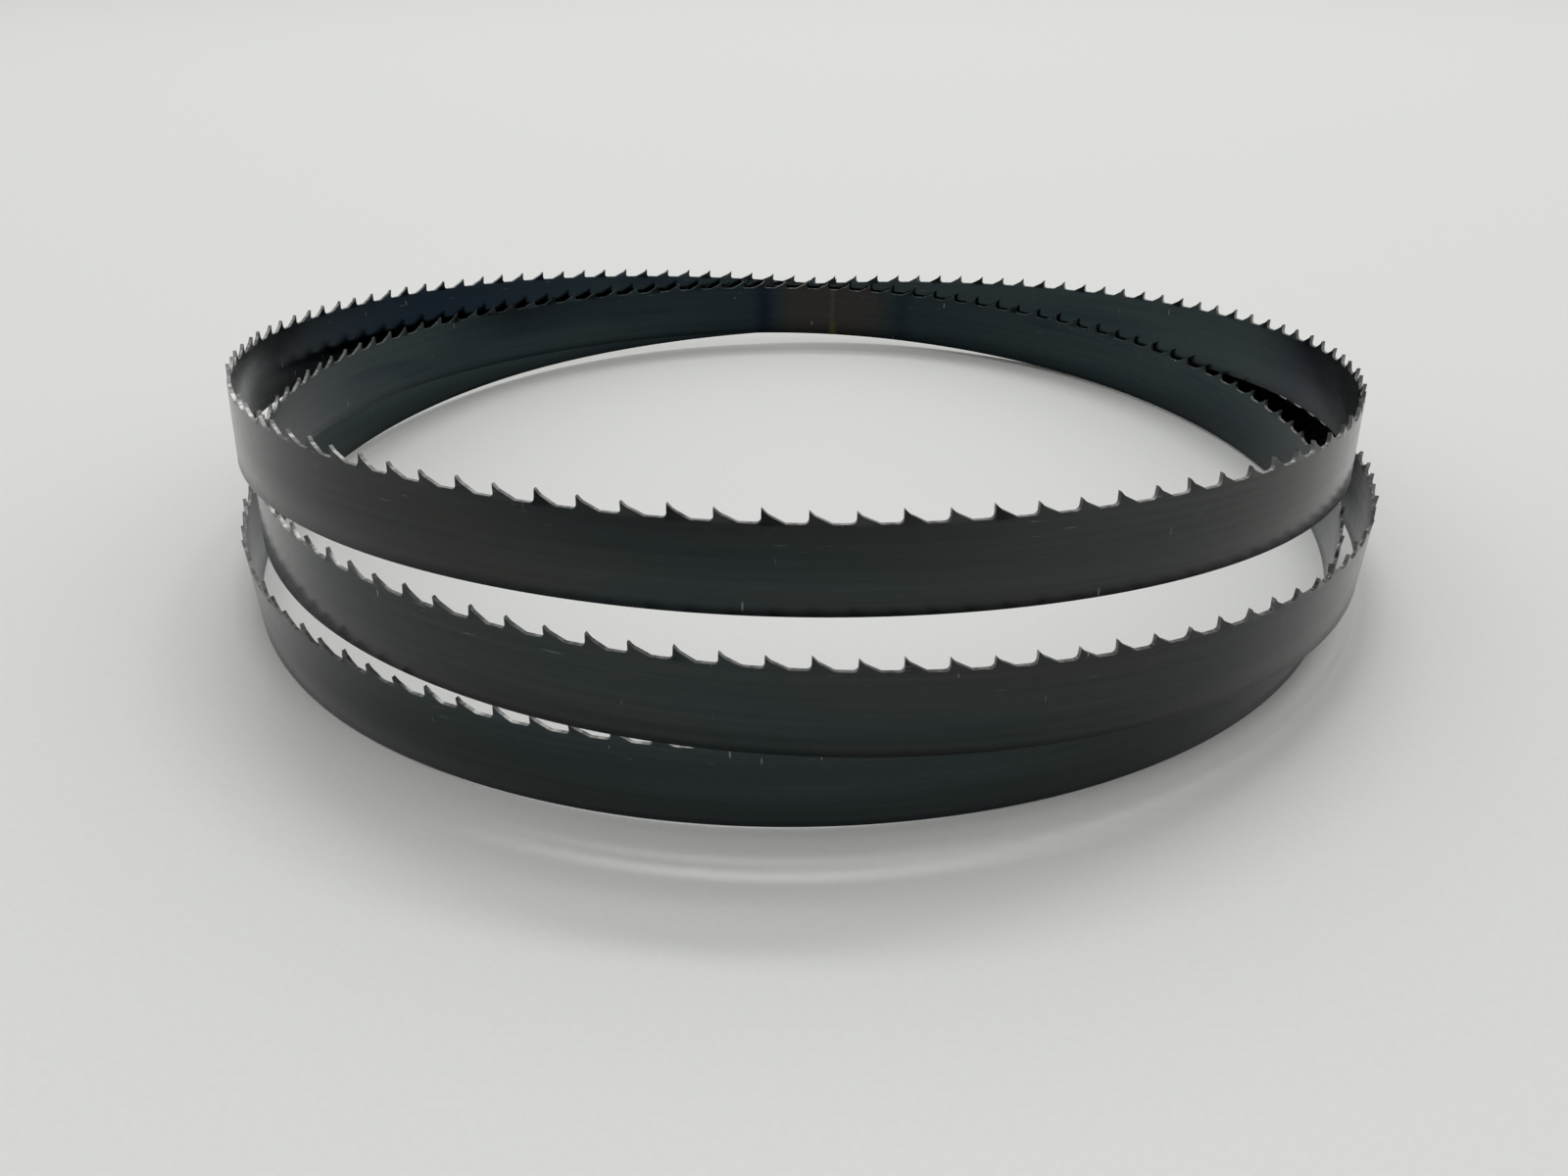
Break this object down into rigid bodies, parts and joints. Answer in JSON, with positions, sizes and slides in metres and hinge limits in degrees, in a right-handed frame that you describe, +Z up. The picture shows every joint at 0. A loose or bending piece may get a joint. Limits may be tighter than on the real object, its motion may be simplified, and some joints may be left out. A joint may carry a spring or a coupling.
{
  "type": "band saw blade",
  "caption": "Welded band saw blade of blued carbon steel, wound up into a coil of overlapping turns for storage, with its small set teeth pointing up.",
  "frame": {"origin": "middle of the coil's outline seen from above, on the table plane under the lowest stretches of the back edge", "axes": "+Z up, from the back edge to the tooth points; -Y towards the front of the coil, where the picture was taken from; +X to the right as seen from there"},
  "size_m": [0.2328, 0.2292, 0.0504],
  "materials": {
    "blued_steel": "hardened and blued strip steel, smooth and dark, with thin bare ground rims round the teeth and a straw and grey heat tint at the weld"
  },
  "bodies": {
    "root": {"blade": "blued_steel"}
  },
  "joints": []
}
